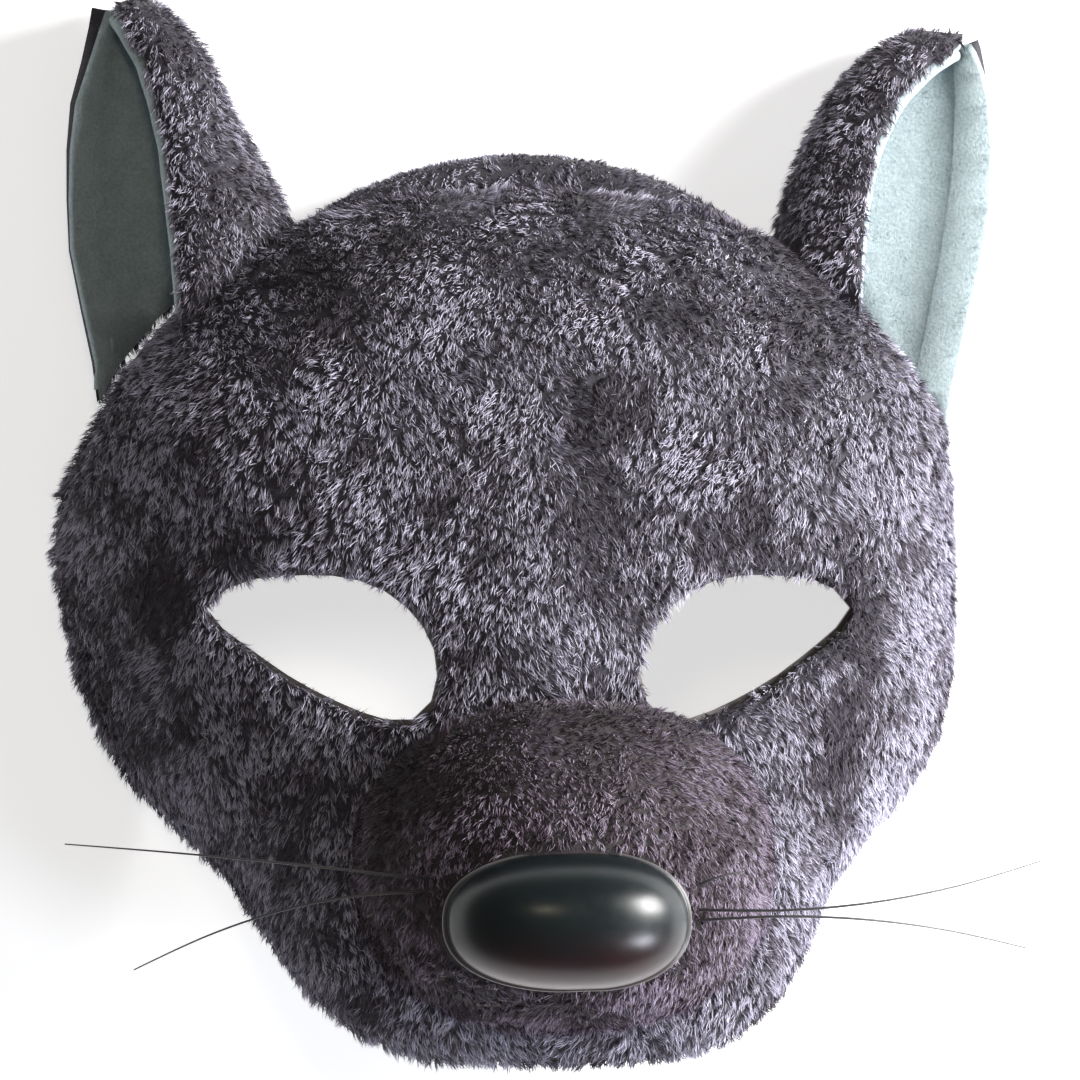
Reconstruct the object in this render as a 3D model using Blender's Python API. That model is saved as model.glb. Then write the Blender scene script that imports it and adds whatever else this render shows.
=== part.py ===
"""Plush rat mask on a headband, lying on its back with the nose up.

Metres, +Z up. +Z is the way the nose points, +Y runs towards the ears and +X is the viewer's right.
The face is sized on the outer side of its fur, and every layer under it is an inward offset of that.
Everything is built round the chin's lowest point and is centred on its own box at the end.
"""

import math

import bmesh
import bpy
import numpy as np

# Gap between pieces that touch
SEAT_GAP = 0.0003

# Face
FACE_WIDTH = 0.1756
FACE_HEIGHT = 0.1683
FACE_DEPTH = 0.062
DOME_ALONG = 2.7
DOME_DOWN = 2.0
FACE_SHIFT = 0.0012
CHEEK_LEAN = 0.0040
FUR_WALL = 0.003
BASE_WALL = 0.0015

# Rim of the face: down on the table at the temples, raised at the chin and over the headband
CHIN_RISE = 0.038
CHIN_RISE_END = 0.058
TEMPLE_TOP = 0.104
BAND_MEETS_RIM = 0.125

# Headband
BAND_RADIUS = 0.072
BAND_WALL = 0.007
BAND_WIDTH = 0.027
BAND_EDGE_ROUND = 0.0022
BAND_HALF_ANGLE = math.radians(94)
BAND_PROUD = 0.0063
BAND_SHIFT = 0.003

# Eye holes
EYE_WIDTH = 0.0427
EYE_HEIGHT = 0.0276
EYE_INNER = 0.0195
EYE_BOTTOM = 0.0658
EYE_SHIFT = 0.0009
EYE_LIP = 0.001
SOCKET_DEPTH = 0.003
BRIDGE_RISE = 0.002

# Muzzle
MUZZLE_WIDTH = 0.0813
MUZZLE_HEIGHT = 0.0633
MUZZLE_DEPTH = 0.026
MUZZLE_WALL = 0.003
MUZZLE_BOTTOM = 0.0068
MUZZLE_SHIFT = 0.0062
MUZZLE_SQUARENESS = 2.3
MUZZLE_ALONG = 2.1
MUZZLE_DOWN = 1.6
CROWN_SHIFT_X = -0.0035
CROWN_SHIFT_Y = -0.007

# Nose button
NOSE_WIDTH = 0.0475
NOSE_HEIGHT = 0.028
NOSE_DEPTH = 0.0145
NOSE_SINK = 0.004
NOSE_SHIFT_X = -0.0016
NOSE_SHIFT_Y = -0.002
NOSE_SQUARENESS = 2.35
NOSE_EGG = 0.045

# Ears
EAR_HEIGHT = 0.080
EAR_WIDTH = 0.0513
EAR_DEPTH = 0.034
EAR_INNER = 0.0369
EAR_BACK = 0.004
EAR_FUR_WALL = 0.0026
EAR_FELT_WALL = 0.0015
EAR_CUP = 0.0016
EAR_HEM = 0.0022
EAR_TIP_LEFT = 0.203
EAR_TIP_RIGHT = 0.1975

# Whiskers
WHISKER_REACH = 0.066
WHISKER_RADIUS = 0.0003
WHISKER_OFF_NOSE = 0.0022

# Facets
SECTORS = 44
RIM_SHARES = (0.12, 0.24, 0.36, 0.48, 0.60, 0.71, 0.81, 0.89, 0.95, 0.985, 1.0)
CAP_SHARES = (0.0, 0.25, 0.45, 0.62, 0.76, 0.87, 0.95, 1.0)
BAND_SECTIONS = 26
NOSE_SECTORS = 24
EYE_CORNERS = 22
WHISKER_STEPS = 6
FRONT_WALL_STEPS = 3
FOLD_STEPS = 5
REAR_WALL_STEPS = 4

# Face outline: one row a height. up is a share of the face's height, out of half its width
FACE_OUTLINE = (
    dict(up=0.000, out=0.000),
    dict(up=0.006, out=0.285),
    dict(up=0.018, out=0.365),
    dict(up=0.045, out=0.455),
    dict(up=0.074, out=0.516),
    dict(up=0.130, out=0.585),
    dict(up=0.200, out=0.660),
    dict(up=0.245, out=0.733),
    dict(up=0.290, out=0.826),
    dict(up=0.325, out=0.886),
    dict(up=0.360, out=0.925),
    dict(up=0.430, out=0.968),
    dict(up=0.510, out=0.993),
    dict(up=0.600, out=1.000),
    dict(up=0.660, out=0.985),
    dict(up=0.710, out=0.953),
    dict(up=0.760, out=0.910),
    dict(up=0.820, out=0.830),
    dict(up=0.880, out=0.715),
    dict(up=0.940, out=0.560),
    dict(up=0.975, out=0.420),
    dict(up=0.992, out=0.250),
    dict(up=1.000, out=0.000),
)

# Eye hole outline: along is a share of its width from the inner edge, up of its height
EYE_OUTLINE = (
    dict(along=1.00, up=0.78),
    dict(along=0.89, up=0.94),
    dict(along=0.72, up=1.00),
    dict(along=0.42, up=1.00),
    dict(along=0.21, up=0.88),
    dict(along=0.06, up=0.65),
    dict(along=0.00, up=0.38),
    dict(along=0.03, up=0.13),
    dict(along=0.12, up=0.01),
    dict(along=0.26, up=0.03),
    dict(along=0.45, up=0.15),
    dict(along=0.63, up=0.30),
    dict(along=0.82, up=0.51),
    dict(along=0.95, up=0.67),
)

# Nose profile: high is a share of its depth from the seam, reach of its half width
NOSE_PROFILE = (
    dict(high=-0.62, reach=0.80),
    dict(high=-0.12, reach=0.96),
    dict(high=-0.05, reach=1.00),
    dict(high=0.02, reach=1.00),
    dict(high=0.05, reach=0.965),
    dict(high=0.32, reach=0.915),
    dict(high=0.60, reach=0.790),
    dict(high=0.82, reach=0.590),
    dict(high=0.95, reach=0.330),
)

# Ear sheets: one row a height, as a share of the ear's height from its foot. front and rear are where
# the two rims stand out, fold is the ear's inner side, all as shares of the ear's width, and front_deep
# is how far the front rim stands forward, as a share of the ear's depth
EAR_LEFT = (
    dict(up=0.00, front=0.570, fold=0.010, rear=0.811, front_deep=1.00),
    dict(up=0.15, front=0.557, fold=0.020, rear=0.844, front_deep=0.97),
    dict(up=0.28, front=0.563, fold=0.050, rear=0.889, front_deep=0.94),
    dict(up=0.42, front=0.573, fold=0.110, rear=0.934, front_deep=0.84),
    dict(up=0.54, front=0.585, fold=0.200, rear=0.940, front_deep=0.72),
    dict(up=0.66, front=0.595, fold=0.302, rear=0.936, front_deep=0.60),
    dict(up=0.77, front=0.626, fold=0.390, rear=0.916, front_deep=0.50),
    dict(up=0.87, front=0.665, fold=0.454, rear=0.866, front_deep=0.43),
    dict(up=0.95, front=0.733, fold=0.557, rear=0.826, front_deep=0.35),
    dict(up=1.00, front=0.766, fold=0.665, rear=0.800, front_deep=0.29),
)
EAR_RIGHT = (
    dict(up=0.00, front=0.560, fold=0.140, rear=0.965, front_deep=1.00),
    dict(up=0.15, front=0.560, fold=0.180, rear=1.010, front_deep=0.98),
    dict(up=0.30, front=0.560, fold=0.240, rear=1.062, front_deep=0.94),
    dict(up=0.45, front=0.579, fold=0.320, rear=1.116, front_deep=0.85),
    dict(up=0.60, front=0.612, fold=0.390, rear=1.155, front_deep=0.72),
    dict(up=0.73, front=0.665, fold=0.468, rear=1.165, front_deep=0.60),
    dict(up=0.85, front=0.762, fold=0.573, rear=1.155, front_deep=0.50),
    dict(up=0.93, front=0.880, fold=0.680, rear=1.130, front_deep=0.42),
    dict(up=0.98, front=1.000, fold=0.811, rear=1.100, front_deep=0.34),
    dict(up=1.00, front=1.035, fold=0.880, rear=1.080, front_deep=0.30),
)

# Whiskers: side is -1 on the viewer's left. root_up is how far the root stands over the nose's middle,
# as a share of the nose's height. The others are shares of the whiskers' reach: reach is how far out the
# tip is, rise how much higher it is, bow the curve's height at mid length, back how far it lies behind
WHISKERS = (
    dict(name="whisker_left_upper", side=-1, root_up=0.257, reach=1.000, rise=0.094, bow=0.008, back=0.303),
    dict(name="whisker_left_lower", side=-1, root_up=0.171, reach=0.803, rise=-0.230, bow=0.061, back=0.273),
    dict(name="whisker_right_upper", side=1, root_up=0.043, reach=1.045, rise=0.127, bow=-0.048, back=0.273),
    dict(name="whisker_right_lower", side=1, root_up=-0.029, reach=1.000, rise=-0.094, bow=0.045, back=0.273),
    dict(name="whisker_right_short", side=1, root_up=0.214, reach=0.129, rise=0.036, bow=0.006, back=0.015),
)

# What follows from the sizes above
TOP_RISE = BAND_WIDTH + SEAT_GAP
BASE_DEEP = FUR_WALL + SEAT_GAP
LINING_DEEP = BASE_DEEP + BASE_WALL
FACE_MIDDLE = np.array([FACE_SHIFT, 0.53 * FACE_HEIGHT])
MUZZLE_MIDDLE = np.array([MUZZLE_SHIFT, MUZZLE_BOTTOM + MUZZLE_HEIGHT / 2])
CROWN_SHIFT = np.array([CROWN_SHIFT_X, CROWN_SHIFT_Y])
NOSE_MIDDLE = MUZZLE_MIDDLE + CROWN_SHIFT + np.array([NOSE_SHIFT_X, NOSE_SHIFT_Y])
EYE_MIDDLE_X = EYE_INNER + EYE_WIDTH / 2
EYE_MIDDLE_Y = EYE_BOTTOM + EYE_HEIGHT / 2
BAND_MIDDLE = np.array([BAND_SHIFT, FACE_HEIGHT + BAND_PROUD - BAND_RADIUS])


def clear_scene():
    for old in list(bpy.data.objects):
        bpy.data.objects.remove(old, do_unlink=True)


def new_collection(name):
    made = bpy.data.collections.new(name)
    bpy.context.scene.collection.children.link(made)
    return made


def new_material(name, colour, roughness, coat=0.0):
    """A plain Principled finish."""
    made = bpy.data.materials.new(name)
    made.use_nodes = True
    shader = made.node_tree.nodes["Principled BSDF"]
    shader.inputs["Base Color"].default_value = (*colour, 1.0)
    shader.inputs["Roughness"].default_value = roughness
    shader.inputs["Metallic"].default_value = 0.0
    shader.inputs["Coat Weight"].default_value = coat
    made.diffuse_color = (*colour, 1.0)
    return made


def ease(low, high, value):
    """0 below low, 1 above high, and a smooth step between them."""
    share = min(max((value - low) / (high - low), 0.0), 1.0)
    return share * share * (3.0 - 2.0 * share)


def smooth_loop(points, steps):
    """A closed curve through the points, with as many steps from each to the next."""
    count = len(points)
    found = []
    for k in range(count):
        before, start, end, after = (points[(k + j - 1) % count] for j in range(4))
        for t in np.linspace(0.0, 1.0, steps, endpoint=False):
            found.append(0.5 * (2 * start + (end - before) * t
                                + (2 * before - 5 * start + 4 * end - after) * t ** 2
                                + (3 * start - before - 3 * end + after) * t ** 3))
    return np.array(found)


def evenly_spaced(loop, count):
    """Points at equal steps along a closed curve, from its first point on."""
    closed = np.vstack([loop, loop[:1]])
    run = np.concatenate([[0.0], np.cumsum(np.linalg.norm(np.diff(closed, axis=0), axis=1))])
    at = np.linspace(0.0, run[-1], count, endpoint=False)
    return np.stack([np.interp(at, run, closed[:, k]) for k in range(closed.shape[1])], axis=1)


def cheek_shift(y):
    """The face sits a little to +X, its lower half more so."""
    return FACE_SHIFT + CHEEK_LEAN * (1.0 - ease(0.30 * FACE_HEIGHT, 0.62 * FACE_HEIGHT, y))


def face_outline():
    right = [np.array([row["out"] * FACE_WIDTH / 2, row["up"] * FACE_HEIGHT]) for row in FACE_OUTLINE]
    left = [point * (-1, 1) for point in reversed(right[1:-1])]
    loop = smooth_loop(right + left, 12)
    loop[:, 0] += [cheek_shift(y) for y in loop[:, 1]]
    return loop


OUTLINE = face_outline()


def reach_from(middle):
    """A function from a direction to the distance between a point and the face's outline."""
    away = OUTLINE - middle
    angles = np.arctan2(away[:, 1], away[:, 0])
    order = np.argsort(angles)
    lengths = np.linalg.norm(away, axis=1)[order]
    return lambda angle: float(np.interp(angle, angles[order], lengths, period=2 * math.pi))


RIM_REACH = reach_from(FACE_MIDDLE)


def rim_rise(y):
    """How high the rim is over the table at this height of the outline."""
    chin = CHIN_RISE * (1.0 - ease(0.0, CHIN_RISE_END, y))
    top = TOP_RISE * ease(TEMPLE_TOP, BAND_MEETS_RIM, y)
    return chin + top


def hollow(x, y, middle_x, middle_y, wide, high):
    """1 at the middle of a soft oval and near 0 past its edge."""
    return math.exp(-((x - middle_x) / wide) ** 2 - ((y - middle_y) / high) ** 2)


def face_height(x, y):
    """Outer surface of the face fur over a point, without the muzzle."""
    away = np.array([x, y]) - FACE_MIDDLE
    angle = math.atan2(away[1], away[0])
    reach = RIM_REACH(angle)
    share = min(float(np.linalg.norm(away)) / reach, 1.0)
    rise = rim_rise(FACE_MIDDLE[1] + reach * math.sin(angle))
    dome = (1.0 - share ** DOME_ALONG) ** (1.0 / DOME_DOWN)
    sockets = sum(hollow(x, y, side * EYE_MIDDLE_X, EYE_MIDDLE_Y, 0.7 * EYE_WIDTH, 0.9 * EYE_HEIGHT)
                  for side in (-1, 1))
    bridge = hollow(x, y, 0.0, EYE_MIDDLE_Y, 0.6 * EYE_INNER, 1.5 * EYE_HEIGHT)
    relief = BRIDGE_RISE * bridge - SOCKET_DEPTH * sockets
    return rise + (FACE_DEPTH - rise) * dome + relief * (1.0 - share ** 4)


def superellipse(angle, half_wide, half_high, squareness):
    """Radius of a rounded box's outline in one direction."""
    across = abs(math.cos(angle) / half_wide) ** squareness
    up = abs(math.sin(angle) / half_high) ** squareness
    return (across + up) ** (-1.0 / squareness)


def muzzle_reach(angle):
    return superellipse(angle, MUZZLE_WIDTH / 2, MUZZLE_HEIGHT / 2, MUZZLE_SQUARENESS)


def sector_angles():
    """Directions from the muzzle's middle that meet the outline at equal steps."""
    away = evenly_spaced(OUTLINE, SECTORS) - MUZZLE_MIDDLE
    return np.arctan2(away[:, 1], away[:, 0])


ANGLES = sector_angles()
MUZZLE_TO_RIM = reach_from(MUZZLE_MIDDLE)


def on_face(radius, angle):
    spot = MUZZLE_MIDDLE + radius * np.array([math.cos(angle), math.sin(angle)])
    return np.array([spot[0], spot[1], face_height(*spot)])


def face_rings(inset):
    """Rings of the face's outer surface, from the muzzle's foot, drawn in by inset, out to the rim."""
    rings = [[on_face(muzzle_reach(a) - inset, a) for a in ANGLES]]
    for share in RIM_SHARES:
        foot = [muzzle_reach(a) for a in ANGLES]
        rings.append([on_face(r + share * (MUZZLE_TO_RIM(a) - r), a) for r, a in zip(foot, ANGLES)])
    return np.array(rings)


def ring_normals(rings):
    """Outward normals of face rings. At the rim they lie flat, so that all layers end level."""
    around = np.roll(rings, -1, axis=1) - np.roll(rings, 1, axis=1)
    outward = np.gradient(rings, axis=0)
    normals = np.cross(outward, around)
    normals[-1] = np.cross(around[-1], (0.0, 0.0, 1.0))
    return normals / np.linalg.norm(normals, axis=2, keepdims=True)


def face_layer(deep, inset):
    rings = face_rings(inset)
    return rings - deep * ring_normals(rings)


def cap_point(share, angle, inset):
    """A point of the muzzle's dome, drawn in on all sides by inset. share runs from crown to foot."""
    middle = MUZZLE_MIDDLE + CROWN_SHIFT * (1.0 - share)
    radius = share * (muzzle_reach(angle) - inset)
    spot = middle + radius * np.array([math.cos(angle), math.sin(angle)])
    dome = (1.0 - share ** MUZZLE_ALONG) ** (1.0 / MUZZLE_DOWN)
    return np.array([spot[0], spot[1], face_height(*spot) + (MUZZLE_DEPTH - inset) * dome])


def cap_rings(inset, lift=0.0):
    rings = np.array([[cap_point(share, a, inset) for a in ANGLES] for share in CAP_SHARES])
    rings[:, :, 2] += lift
    return rings


def muzzle_height(x, y):
    """Outer surface of the muzzle over a point."""
    share = 0.5
    for _ in range(60):
        away = np.array([x, y]) - MUZZLE_MIDDLE - CROWN_SHIFT * (1.0 - share)
        angle = math.atan2(away[1], away[0])
        share += 0.5 * (min(float(np.linalg.norm(away)) / muzzle_reach(angle), 1.0) - share)
    return float(cap_point(share, angle, 0.0)[2])


def finish_mesh(name, points, faces, collection, material):
    """One object from points and faces, with poles merged and faces turned outwards."""
    build = bmesh.new()
    corners = [build.verts.new(tuple(point)) for point in points]
    for face in faces:
        build.faces.new([corners[k] for k in face])
    bmesh.ops.remove_doubles(build, verts=build.verts, dist=1e-6)
    bmesh.ops.recalc_face_normals(build, faces=build.faces)
    mesh = bpy.data.meshes.new(name)
    build.to_mesh(mesh)
    build.free()
    mesh.shade_smooth()
    mesh.set_sharp_from_angle(angle=math.radians(50))
    made = bpy.data.objects.new(name, mesh)
    collection.objects.link(made)
    if material:
        mesh.materials.append(material)
    return made


def grid_faces(rows, columns, wrap, first=0):
    """Quads of a grid of points, row by row, closed across its columns if wrap is set."""
    spans = columns if wrap else columns - 1
    for row in range(rows - 1):
        for column in range(spans):
            near = first + row * columns + column
            far = first + row * columns + (column + 1) % columns
            yield near, far, far + columns, near + columns


def loft_wall(name, outer, inner, wrap, collection, material):
    """A closed wall between two grids of the same size."""
    rows, columns = outer.shape[:2]
    under = rows * columns
    faces = list(grid_faces(rows, columns, wrap))
    faces += list(grid_faces(rows, columns, wrap, under))
    spans = columns if wrap else columns - 1
    for row in (0, rows - 1):
        start = row * columns
        if np.allclose(outer[row], outer[row][0]):
            continue
        for column in range(spans):
            near = start + column
            far = start + (column + 1) % columns
            faces.append((near, far, far + under, near + under))
    if not wrap:
        for column in (0, columns - 1):
            for row in range(rows - 1):
                near = row * columns + column
                faces.append((near, near + columns, near + columns + under, near + under))
    points = np.vstack([outer.reshape(-1, 3), inner.reshape(-1, 3)])
    return finish_mesh(name, points, faces, collection, material)


def loft_closed(name, rings, collection, material=None):
    """A closed body from rings, with its first and last ring filled."""
    rows, columns = rings.shape[:2]
    faces = list(grid_faces(rows, columns, True))
    for row in (0, rows - 1):
        if not np.allclose(rings[row], rings[row][0]):
            faces.append(tuple(range(row * columns, (row + 1) * columns)))
    return finish_mesh(name, rings.reshape(-1, 3), faces, collection, material)


def cut(piece, cutter):
    made = piece.modifiers.new(cutter.name, "BOOLEAN")
    made.operation = "DIFFERENCE"
    made.solver = "EXACT"
    made.object = cutter


def as_cutter(made):
    made.hide_render = True
    made.display_type = "WIRE"
    return made


def make_eye_cutter(side, grow, cutters):
    """A prism through the face, its outline grown by grow on all sides."""
    table = [np.array([row["along"] * EYE_WIDTH, row["up"] * EYE_HEIGHT]) for row in EYE_OUTLINE]
    loop = evenly_spaced(smooth_loop(table, 8), EYE_CORNERS)
    along = np.roll(loop, -1, axis=0) - np.roll(loop, 1, axis=0)
    outward = np.stack([along[:, 1], -along[:, 0]], axis=1)
    loop = loop + grow * outward / np.linalg.norm(outward, axis=1, keepdims=True)
    x = EYE_SHIFT + side * (EYE_INNER + loop[:, 0])
    y = EYE_BOTTOM + loop[:, 1]
    rings = np.array([[(a, b, z) for a, b in zip(x, y)] for z in (0.0, 2.0 * FACE_DEPTH)])
    word = "left" if side < 0 else "right"
    kind = "lip" if grow else "hole"
    return as_cutter(loft_closed(f"eye_{kind}_{word}", rings, cutters))


def make_face(parts, cutters):
    """The moulded base with its snout, the fur over it, and the eye holes through both."""
    base = loft_wall(
        "face_base",
        np.concatenate([cap_rings(MUZZLE_WALL + SEAT_GAP), face_layer(BASE_DEEP, MUZZLE_WALL + SEAT_GAP)]),
        np.concatenate([cap_rings(MUZZLE_WALL + SEAT_GAP + BASE_WALL),
                        face_layer(LINING_DEEP, MUZZLE_WALL + SEAT_GAP + BASE_WALL)]),
        True, parts, new_material("moulded_base", (0.16, 0.145, 0.14), 0.6))
    fur = loft_wall("face_fur", face_layer(0.0, MUZZLE_WALL), face_layer(FUR_WALL, MUZZLE_WALL),
                    True, parts, new_material("face_plush", (0.19, 0.17, 0.22), 0.9))
    for side in (-1, 1):
        cut(base, make_eye_cutter(side, 0.0, cutters))
        cut(fur, make_eye_cutter(side, EYE_LIP, cutters))


def make_muzzle(parts):
    loft_wall("muzzle_fur", cap_rings(0.0, SEAT_GAP), cap_rings(MUZZLE_WALL, SEAT_GAP), True, parts,
              new_material("muzzle_plush", (0.13, 0.10, 0.13), 0.9))


def make_nose(parts, cutters):
    """A glossy button with a thin seam round it, seated on the muzzle."""
    seat = muzzle_height(*NOSE_MIDDLE)
    seam = seat - NOSE_SINK
    rings = []
    for row in NOSE_PROFILE:
        ring = []
        for angle in np.linspace(0.0, 2 * math.pi, NOSE_SECTORS, endpoint=False):
            radius = superellipse(angle, NOSE_WIDTH / 2, NOSE_HEIGHT / 2, NOSE_SQUARENESS)
            radius *= row["reach"] * (1.0 + NOSE_EGG * math.cos(angle))
            spot = NOSE_MIDDLE + radius * np.array([math.cos(angle), math.sin(angle)])
            ring.append((spot[0], spot[1], seam + row["high"] * (NOSE_DEPTH + NOSE_SINK)))
        rings.append(ring)
    tip = (*NOSE_MIDDLE, seat + NOSE_DEPTH)
    rings.append([tip] * NOSE_SECTORS)
    finish = new_material("nose_gloss", (0.01, 0.01, 0.014), 0.12, 1.0)
    nose = loft_closed("nose", np.array(rings), parts, finish)
    block = cap_rings(-SEAT_GAP, 2 * SEAT_GAP)
    foot = np.repeat([[(*MUZZLE_MIDDLE, 0.0)]], SECTORS, axis=1)
    cut(nose, as_cutter(loft_closed("nose_seat", np.concatenate([block, foot]), cutters)))


def make_ear_block(cutters):
    """The filled face, a seat gap larger than its fur, that the ears' feet are cut by."""
    grown = face_layer(-SEAT_GAP, MUZZLE_WALL)
    skirt = grown[-1:].copy()
    skirt[:, :, 2] = -FACE_DEPTH
    crown = np.repeat([[(*MUZZLE_MIDDLE, face_height(*MUZZLE_MIDDLE))]], SECTORS, axis=1)
    foot = np.repeat([[(*MUZZLE_MIDDLE, -FACE_DEPTH)]], SECTORS, axis=1)
    return as_cutter(loft_closed("ear_seat", np.concatenate([crown, grown, skirt, foot]), cutters))


def ear_section(side, row, y):
    """One level section of an ear: front rim, short front wall, half-round fold, long rear wall."""
    front = EAR_INNER + row["front"] * EAR_WIDTH
    fold = EAR_INNER + row["fold"] * EAR_WIDTH
    rear = EAR_INNER + row["rear"] * EAR_WIDTH
    front_z = EAR_BACK + row["front_deep"] * EAR_DEPTH
    back_z = EAR_BACK + EAR_FUR_WALL
    middle_z = (front_z + back_z) / 2
    bend = min((front_z - back_z) / 2, 0.9 * (front - fold))
    points = [(front + t * (fold + bend - front), front_z)
              for t in np.linspace(0.0, 1.0, FRONT_WALL_STEPS, endpoint=False)]
    for turn in np.linspace(0.0, math.pi, FOLD_STEPS, endpoint=False):
        points.append((fold + bend - bend * math.sin(turn),
                       middle_z + (front_z - middle_z) * math.cos(turn)))
    for t in np.linspace(0.0, 1.0, REAR_WALL_STEPS + 1):
        lift = EAR_CUP * (1.0 - math.sin(math.pi * t)) * 4 * t * t
        points.append((fold + bend + t * (rear - fold - bend), back_z + lift))
    return np.array([(side * x, y, z) for x, z in points])


def ear_grid(side, table, tip):
    foot = tip - EAR_HEIGHT
    return np.array([ear_section(side, row, foot + row["up"] * EAR_HEIGHT) for row in table])


def draw_back(sheet, hem):
    """The sheet with its rear rim drawn back by hem, or by half its last strip where that is narrower."""
    drawn = sheet.copy()
    strip = sheet[:, -2] - sheet[:, -1]
    wide = np.linalg.norm(strip, axis=1, keepdims=True)
    drawn[:, -1] += strip * np.minimum(hem / wide, 0.5)
    return drawn


def sheet_normals(grid, side):
    """Normals of an ear sheet, towards its convex, furred side."""
    normals = np.cross(np.gradient(grid, axis=0), np.gradient(grid, axis=1)) * side
    return normals / np.linalg.norm(normals, axis=2, keepdims=True)


def make_ears(parts, cutters):
    """Two cupped ears, each a felt sheet inside a furred one, past which its rear hem reaches."""
    fur_finish = new_material("ear_plush", (0.19, 0.17, 0.22), 0.9)
    felt_finish = new_material("ear_felt", (0.55, 0.64, 0.66), 0.95)
    block = make_ear_block(cutters)
    ears = (("left", -1, EAR_LEFT, EAR_TIP_LEFT), ("right", 1, EAR_RIGHT, EAR_TIP_RIGHT))
    for word, side, table, tip in ears:
        near = SEAT_GAP / 2
        sheets = (
            ("fur", EAR_HEM, near + EAR_FUR_WALL, near, fur_finish),
            ("felt", 0.0, -near, -near - EAR_FELT_WALL, felt_finish),
        )
        grid = ear_grid(side, table, tip)
        normals = sheet_normals(grid, side)
        for kind, hem, outer, inner, finish in sheets:
            sheet = loft_wall(f"ear_{word}_{kind}", draw_back(grid + outer * normals, hem),
                              draw_back(grid + inner * normals, hem), False, parts, finish)
            cut(sheet, block)


def band_section():
    """Rounded box section of the headband, as (outward, up) from its middle, flat front and back."""
    points = []
    half_wall = BAND_WALL / 2 - BAND_EDGE_ROUND
    half_width = BAND_WIDTH / 2 - BAND_EDGE_ROUND
    for corner, (a, b) in enumerate(((1, 1), (-1, 1), (-1, -1), (1, -1))):
        for turn in (0.0, 0.5, 1.0):
            angle = (corner + turn) * math.pi / 2
            points.append((a * half_wall + BAND_EDGE_ROUND * math.cos(angle),
                           b * half_width + BAND_EDGE_ROUND * math.sin(angle)))
    return np.array(points)


def make_headband(parts):
    """A half hoop of plush-covered band behind the forehead, with rounded ends."""
    section = band_section()
    middle_radius = BAND_RADIUS - BAND_WALL / 2
    rings = []
    round_over = BAND_WALL / middle_radius
    for share in np.linspace(-1.0, 1.0, BAND_SECTIONS):
        rings.append((share * (BAND_HALF_ANGLE - round_over), 1.0))
    ends = [(BAND_HALF_ANGLE - round_over * (1.0 - t), math.sqrt(1.0 - t * t)) for t in (0.5, 0.85, 0.97)]
    rings = [(-angle, size) for angle, size in reversed(ends)] + rings + ends
    grid = []
    for angle, size in rings:
        out = np.array([math.sin(angle), math.cos(angle)])
        ring = []
        for outward, up in section * size:
            spot = BAND_MIDDLE + (middle_radius + outward) * out
            ring.append((spot[0], spot[1], BAND_WIDTH / 2 + up))
        grid.append(ring)
    loft_closed("headband", np.array(grid), parts, new_material("band_plush", (0.22, 0.20, 0.25), 0.9))


def make_whisker(row, parts, finish):
    """A thin bowed bristle from beside the nose, past the cheek."""
    side = row["side"]
    x = NOSE_MIDDLE[0] + side * (NOSE_WIDTH / 2 * (1 + side * NOSE_EGG) + WHISKER_OFF_NOSE)
    y = NOSE_MIDDLE[1] + row["root_up"] * NOSE_HEIGHT
    root = np.array([x, y, muzzle_height(x, y) + 2 * (WHISKER_RADIUS + SEAT_GAP)])
    curve = bpy.data.curves.new(row["name"], "CURVE")
    curve.dimensions = "3D"
    curve.bevel_depth = WHISKER_RADIUS
    curve.bevel_resolution = 2
    curve.use_fill_caps = True
    spline = curve.splines.new("POLY")
    spline.points.add(WHISKER_STEPS)
    for k, t in enumerate(np.linspace(0.0, 1.0, WHISKER_STEPS + 1)):
        step = (side * row["reach"] * t, row["rise"] * t + 4 * row["bow"] * t * (1 - t), -row["back"] * t * t)
        spline.points[k].co = (*(root + WHISKER_REACH * np.array(step)), 1.0)
    curve.materials.append(finish)
    made = bpy.data.objects.new(row["name"], curve)
    parts.objects.link(made)


def centre_on_table(parts, cutters):
    """Parents everything to an empty that puts the middle of the parts' underside at the origin."""
    bpy.context.view_layer.update()
    graph = bpy.context.evaluated_depsgraph_get()
    corners = []
    for part in parts.objects:
        seen = part.evaluated_get(graph).to_mesh()
        points = np.empty(len(seen.vertices) * 3, np.float32)
        seen.vertices.foreach_get("co", points)
        corners.append(points.reshape(-1, 3).min(axis=0))
        corners.append(points.reshape(-1, 3).max(axis=0))
        part.evaluated_get(graph).to_mesh_clear()
    low = np.min(corners, axis=0)
    high = np.max(corners, axis=0)
    holder = bpy.data.objects.new("rat_mask_origin", None)
    holder.location = (-(low[0] + high[0]) / 2, -(low[1] + high[1]) / 2, -low[2])
    members = list(parts.objects) + list(cutters.objects)
    parts.objects.link(holder)
    for member in members:
        member.parent = holder


def main():
    clear_scene()
    parts = new_collection("rat_mask_headband")
    cutters = new_collection("cutters")
    make_face(parts, cutters)
    make_muzzle(parts)
    make_nose(parts, cutters)
    make_ears(parts, cutters)
    make_headband(parts)
    bristle = new_material("nylon_bristle", (0.06, 0.055, 0.06), 0.35)
    for row in WHISKERS:
        make_whisker(row, parts, bristle)
    centre_on_table(parts, cutters)


main()
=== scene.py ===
import logging
import math
from dataclasses import dataclass, field
from enum import Enum
from typing import Callable, Optional, Sequence

import bmesh
import bpy
import numpy as np
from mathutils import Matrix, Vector, kdtree, noise
from mathutils.bvhtree import BVHTree


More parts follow.
